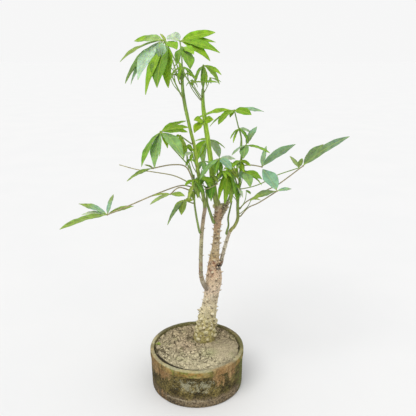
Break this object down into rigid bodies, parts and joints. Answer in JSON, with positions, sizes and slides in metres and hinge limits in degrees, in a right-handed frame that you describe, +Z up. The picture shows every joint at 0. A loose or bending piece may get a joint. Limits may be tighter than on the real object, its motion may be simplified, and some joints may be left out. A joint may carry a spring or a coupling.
{
  "type": "bonsai tree",
  "caption": "Bonsai of a silk cotton tree in a round clay pan: a spiny trunk with tall green shoots and palmate leaves in a crown and on long side stalks.",
  "frame": {"origin": "middle of the underside of the pan", "axes": "+Z up along the pan's axis, +X to the right and -Y to the front as pictured"},
  "size_m": [0.5826, 0.3125, 0.836],
  "materials": {
    "clay": "matte",
    "soil": "matte",
    "bark": "matte",
    "stem": "satin",
    "leaf": "satin"
  },
  "bodies": {
    "root": {"leaf_centre_back": "leaf", "leaf_centre_dark": "leaf", "leaf_centre_high": "leaf", "leaf_centre_left": "leaf", "leaf_centre_low": "leaf", "leaf_centre_right": "leaf", "leaf_crown_back": "leaf", "leaf_crown_front": "leaf", "leaf_crown_left": "leaf", "leaf_crown_middle": "leaf", "leaf_crown_top": "leaf", "leaf_far_left": "leaf", "leaf_far_right": "leaf", "leaf_far_right_small": "leaf", "leaf_left_droop": "leaf", "leaf_left_fork": "leaf", "leaf_left_inner": "leaf", "leaf_left_low": "leaf", "leaf_left_middle": "leaf", "leaf_left_small": "leaf", "leaf_left_trailing": "leaf", "leaf_middle_right": "leaf", "leaf_right_high": "leaf", "leaf_right_inner": "leaf", "leaf_right_low": "leaf", "leaf_right_middle": "leaf", "leaf_right_outer": "leaf", "leaf_right_round": "leaf", "leaf_stem_right": "leaf", "leaf_tip_left": "leaf", "leaf_tip_middle": "leaf", "leaf_upper_back": "leaf", "leaf_young_middle": "leaf", "leaf_young_upper": "leaf", "pot": "clay", "shoot_fork": "stem", "shoot_inner": "stem", "shoot_left": "stem", "shoot_middle": "stem", "shoot_right": "stem", "shoot_side": "stem", "shoot_stub": "stem", "soil": "soil", "trunk": "bark", "twig_bare": "stem"}
  },
  "joints": []
}
